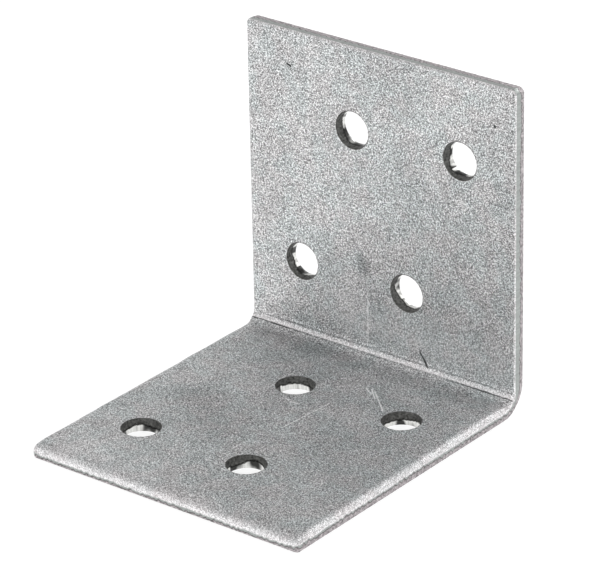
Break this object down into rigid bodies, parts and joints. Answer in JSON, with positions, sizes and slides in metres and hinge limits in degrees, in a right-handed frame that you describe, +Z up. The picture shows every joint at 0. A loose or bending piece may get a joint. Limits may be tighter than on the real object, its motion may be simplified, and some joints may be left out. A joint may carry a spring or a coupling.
{
  "type": "angle bracket",
  "caption": "Right-angle bracket folded from one strip of galvanised sheet steel, with staggered round screw holes in both legs.",
  "frame": {"origin": "the middle of the heel, where the upright leg's back face and the base leg's underside would meet without the fold's radius", "axes": "+X along the fold to the right, -Y along the base leg away from the heel, +Z up along the upright leg"},
  "size_m": [0.04, 0.044, 0.042],
  "materials": {
    "zinc": "galvanised sheet, matt and finely grained, with bright sheared edges"
  },
  "bodies": {
    "root": {"bracket": "zinc"}
  },
  "joints": []
}
